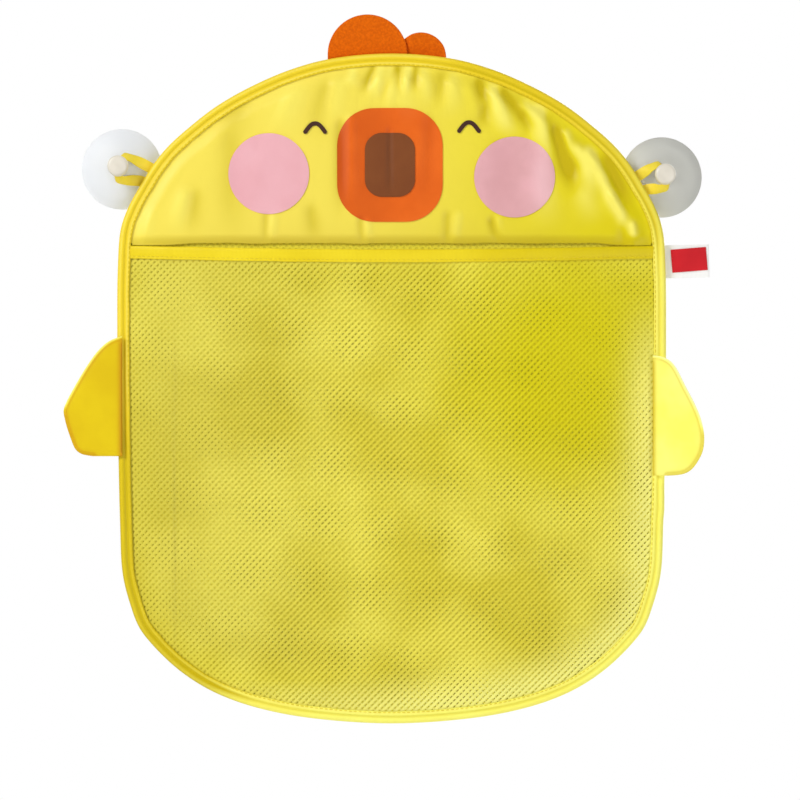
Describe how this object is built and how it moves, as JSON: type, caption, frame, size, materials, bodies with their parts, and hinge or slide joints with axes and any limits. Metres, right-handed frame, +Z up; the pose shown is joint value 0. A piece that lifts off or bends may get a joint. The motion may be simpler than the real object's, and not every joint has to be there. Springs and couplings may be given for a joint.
{
  "type": "bath toy organizer",
  "caption": "Flat mesh toy bag with a wire-stiffened rim, an open front pocket and a padded bird face, hung by ribbon loops on suction cups.",
  "frame": {"origin": "point on the wall plane midway between the two suction cups", "axes": "+Z up; +Y into the wall, so the bag faces -Y; +X to the right as seen from the front"},
  "size_m": [0.4183, 0.0414, 0.4599],
  "materials": {
    "soft_pvc": "soft frosted vinyl, slightly see-through",
    "white_plastic": "moulded, satin",
    "spring_steel": "drawn wire",
    "yellow_tape": "woven polyester tape",
    "yellow_mesh": "knitted polyester mesh with small holes",
    "yellow_cloth": "smooth woven polyester with a soft sheen",
    "pink_film": "heat-pressed print",
    "eye_film": "heat-pressed print",
    "orange_film": "heat-pressed print",
    "brown_film": "heat-pressed print",
    "orange_felt": "pressed felt",
    "wing_cloth": "smooth woven polyester",
    "white_tape": "folded satin tape",
    "red_tape": "plain woven patch"
  },
  "bodies": {
    "cups": {"left_suction_cup": "soft_pvc", "right_suction_cup": "soft_pvc", "left_peg": "white_plastic", "right_peg": "white_plastic"},
    "bag": {"frame_wire": "spring_steel", "wire_ferrule": "spring_steel", "edge_binding": "yellow_tape", "back_mesh": "yellow_mesh", "head_panel": "yellow_cloth", "pocket_mesh": "yellow_mesh", "pocket_hem": "yellow_tape", "left_cheek_patch": "pink_film", "right_cheek_patch": "pink_film", "left_eye_patch": "eye_film", "right_eye_patch": "eye_film", "beak_patch": "orange_film", "mouth_patch": "brown_film", "left_loop": "yellow_tape", "right_loop": "yellow_tape"},
    "wing_l": {"left_wing": "wing_cloth"},
    "wing_r": {"right_wing": "wing_cloth"},
    "crest": {"crest_large": "orange_felt", "crest_small": "orange_felt"},
    "label": {"side_label": "white_tape", "label_patch": "red_tape"}
  },
  "joints": [
    {"name": "bag_swing", "type": "hinge", "parent": "cups", "child": "bag", "pos_m": [0, -0.016, 0], "axis": [-0.9999, 0, 0.015], "range_deg": [-1.6, 4]},
    {"name": "left_wing_flap", "type": "hinge", "parent": "bag", "child": "wing_l", "pos_m": [-0.17403, -0.01715, -0.1455], "axis": [0, 0, 1], "range_deg": [0, 90], "stiffness_Nm_per_rad": 0.01},
    {"name": "right_wing_flap", "type": "hinge", "parent": "bag", "child": "wing_r", "pos_m": [0.16966, -0.01715, -0.1579], "axis": [0, 0, -1], "range_deg": [-36, 54], "stiffness_Nm_per_rad": 0.01},
    {"name": "crest_flop", "type": "hinge", "parent": "bag", "child": "crest", "pos_m": [0, -0.01085, 0.0764], "axis": [1, 0, 0], "range_deg": [0, 45], "stiffness_Nm_per_rad": 0.02},
    {"name": "label_flap", "type": "hinge", "parent": "bag", "child": "label", "pos_m": [0.17672, -0.01085, -0.0577], "axis": [0, 0, -1], "range_deg": [0, 60], "stiffness_Nm_per_rad": 0.004}
  ]
}
